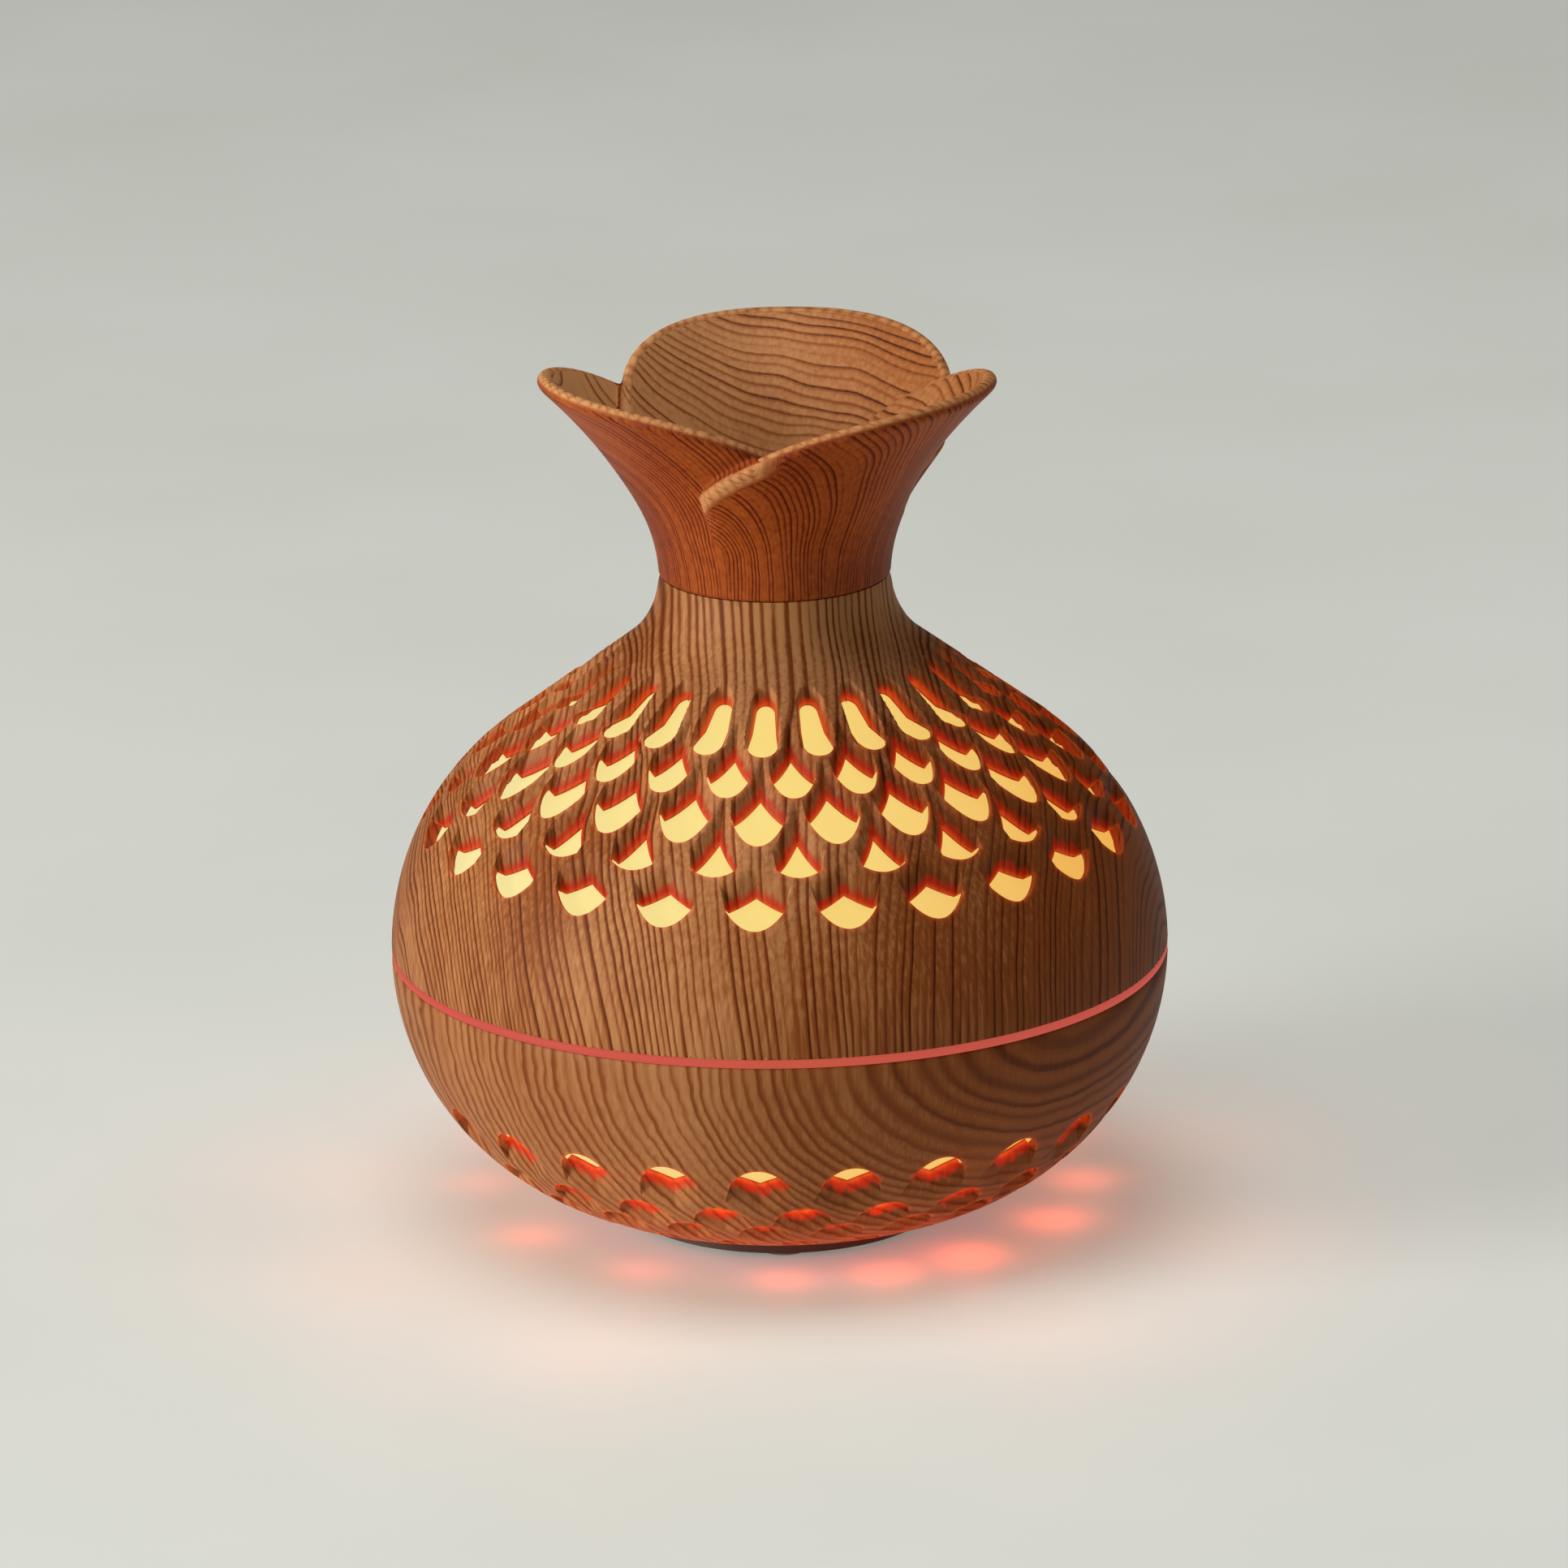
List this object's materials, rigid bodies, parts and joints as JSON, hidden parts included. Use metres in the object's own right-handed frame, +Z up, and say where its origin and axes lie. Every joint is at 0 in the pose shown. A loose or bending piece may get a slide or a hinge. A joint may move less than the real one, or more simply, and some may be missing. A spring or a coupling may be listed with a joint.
{
  "type": "essential oil diffuser",
  "caption": "Vase-shaped ultrasonic aroma diffuser in wood-grain finish with rows of scale-shaped openings, a light ring and a lift-off dome with a petal mouth.",
  "frame": {"origin": "on the surface that the diffuser stands on, on its upright axis", "axes": "+Z up through the petal mouth, -Y towards the front, +Y towards the power socket and the buttons"},
  "size_m": [0.12, 0.12, 0.136],
  "materials": {
    "collar": "satin red-brown wood-grain film on moulded plastic",
    "shell": "satin wood-grain film on moulded plastic",
    "button": "satin brown plastic",
    "cover": "dark brown moulded plastic with a fine texture",
    "liner": "milky light-spreading plastic",
    "ring": "frosted pink light guide",
    "tank": "white moulded plastic",
    "silicone": "soft silicone rubber",
    "brass": "nickel and brass mist plate",
    "fan": "black moulded plastic",
    "copper": "enamelled copper winding",
    "board": "green lacquered circuit board",
    "led_board": "white lacquered circuit board",
    "chips": "black moulded component bodies",
    "led": "yellow phosphor in a white housing",
    "aluminium": "plain extruded aluminium",
    "steel": "zinc plated steel",
    "plunger": "red moulded switch plunger"
  },
  "bodies": {
    "base": {"lower_shell": "shell", "base_cover": "cover", "lower_liner": "liner", "light_ring": "ring", "water_tank": "tank", "air_duct": "tank", "support_posts": "tank", "duct_cap": "tank", "transducer_retainer": "tank", "fan_plenum": "tank", "lid_seal": "silicone", "transducer_seal": "silicone", "rubber_feet": "silicone", "transducer_disc": "brass", "fan_housing": "fan", "switch_bodies": "fan", "power_socket": "fan", "fan_coil": "copper", "main_board": "board", "button_boards": "board", "led_board": "led_board", "board_components": "chips", "leds": "led", "heat_sink": "aluminium", "retainer_screws": "steel", "fan_screws": "steel", "board_screws": "steel", "base_screws": "steel", "socket_pin": "steel"},
    "lid": {"petal_collar": "collar", "upper_shell": "shell", "upper_liner": "liner", "mist_chimney": "tank", "splash_baffle": "tank"},
    "fan": {"fan_impeller": "fan", "fan_magnet": "fan"},
    "mist_key": {"mist_button": "button", "mist_plunger": "plunger"},
    "light_key": {"light_button": "button", "light_plunger": "plunger"}
  },
  "joints": [
    {"name": "lid_lift", "type": "slide", "parent": "base", "child": "lid", "axis": [0, 0, 1], "range_m": [0, 0.095]},
    {"name": "fan_spin", "type": "hinge", "parent": "base", "child": "fan", "pos_m": [0.0295, 0, 0.019], "axis": [0, 0, 1], "continuous": true},
    {"name": "mist_press", "type": "slide", "parent": "base", "child": "mist_key", "axis": [-0.342, -0.9397, 0], "range_m": [0, 0.0008], "stiffness_N_per_m": 1500, "springref_m": -0.0005},
    {"name": "light_press", "type": "slide", "parent": "base", "child": "light_key", "axis": [0.342, -0.9397, 0], "range_m": [0, 0.0008], "stiffness_N_per_m": 1500, "springref_m": -0.0005}
  ]
}
